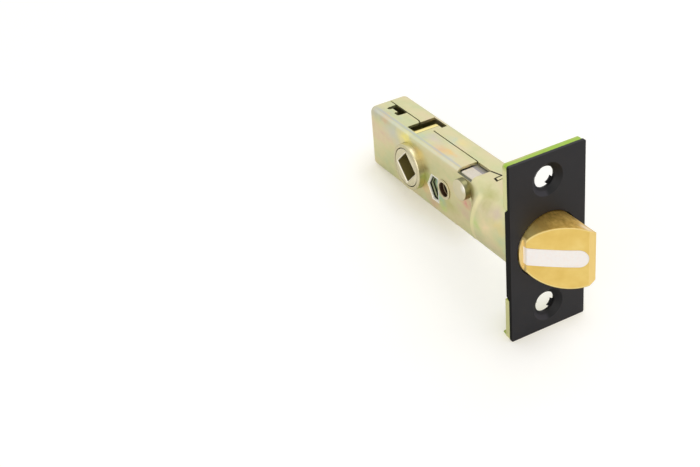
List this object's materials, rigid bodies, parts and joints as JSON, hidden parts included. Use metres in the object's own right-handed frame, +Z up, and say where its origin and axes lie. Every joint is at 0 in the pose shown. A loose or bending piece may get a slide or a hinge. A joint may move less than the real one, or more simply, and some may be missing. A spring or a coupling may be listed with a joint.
{
  "type": "passage latch",
  "caption": "Tubular passage latch with a sloped brass bolt, a dark face plate over a plated back plate, a rolled barrel, a folded case and a square spindle hub",
  "frame": {"origin": "centre of the face plate's front face, midway between the two screw holes", "axes": "+X points out of the door edge along the bolt, +Z is up along the face plate, +Y is to the right seen from the front"},
  "size_m": [0.0974, 0.0254, 0.0572],
  "materials": {
    "black_paint": "matt black coat on steel",
    "yellow_zinc": "yellow passivated zinc plate",
    "brass": "turned and milled brass",
    "white_nylon": "moulded white nylon",
    "bare_steel": "plain steel"
  },
  "bodies": {
    "case": {"face_plate": "black_paint", "back_plate": "yellow_zinc", "case_shell": "yellow_zinc", "near_collar": "yellow_zinc", "far_collar": "yellow_zinc", "spring_seat": "bare_steel", "bolt_spring": "bare_steel", "bolt_guide": "white_nylon", "screw_sleeve": "yellow_zinc", "threaded_bush": "yellow_zinc", "side_stud": "yellow_zinc"},
    "bolt": {"latch_bolt": "brass", "bolt_insert": "white_nylon", "bolt_fork": "bare_steel", "bolt_pins": "bare_steel", "upper_drive_pin": "bare_steel", "lower_drive_pin": "bare_steel", "spring_rod": "bare_steel"},
    "hub": {"hub": "yellow_zinc"}
  },
  "joints": [
    {"name": "bolt_slide", "type": "slide", "parent": "case", "child": "bolt", "axis": [-1, 0, 0], "range_m": [0, 0.0124], "stiffness_N_per_m": 450, "springref_m": -0.015, "deforming": ["bolt_spring"]},
    {"name": "hub_turn", "type": "hinge", "parent": "case", "child": "hub", "pos_m": [-0.06, 0, 0], "axis": [0, -1, 0], "range_deg": [0, 78.1]}
  ],
  "couplings": [
    {"joint": "hub_turn", "follows": "bolt_slide", "rad_per_m": 109.8}
  ]
}
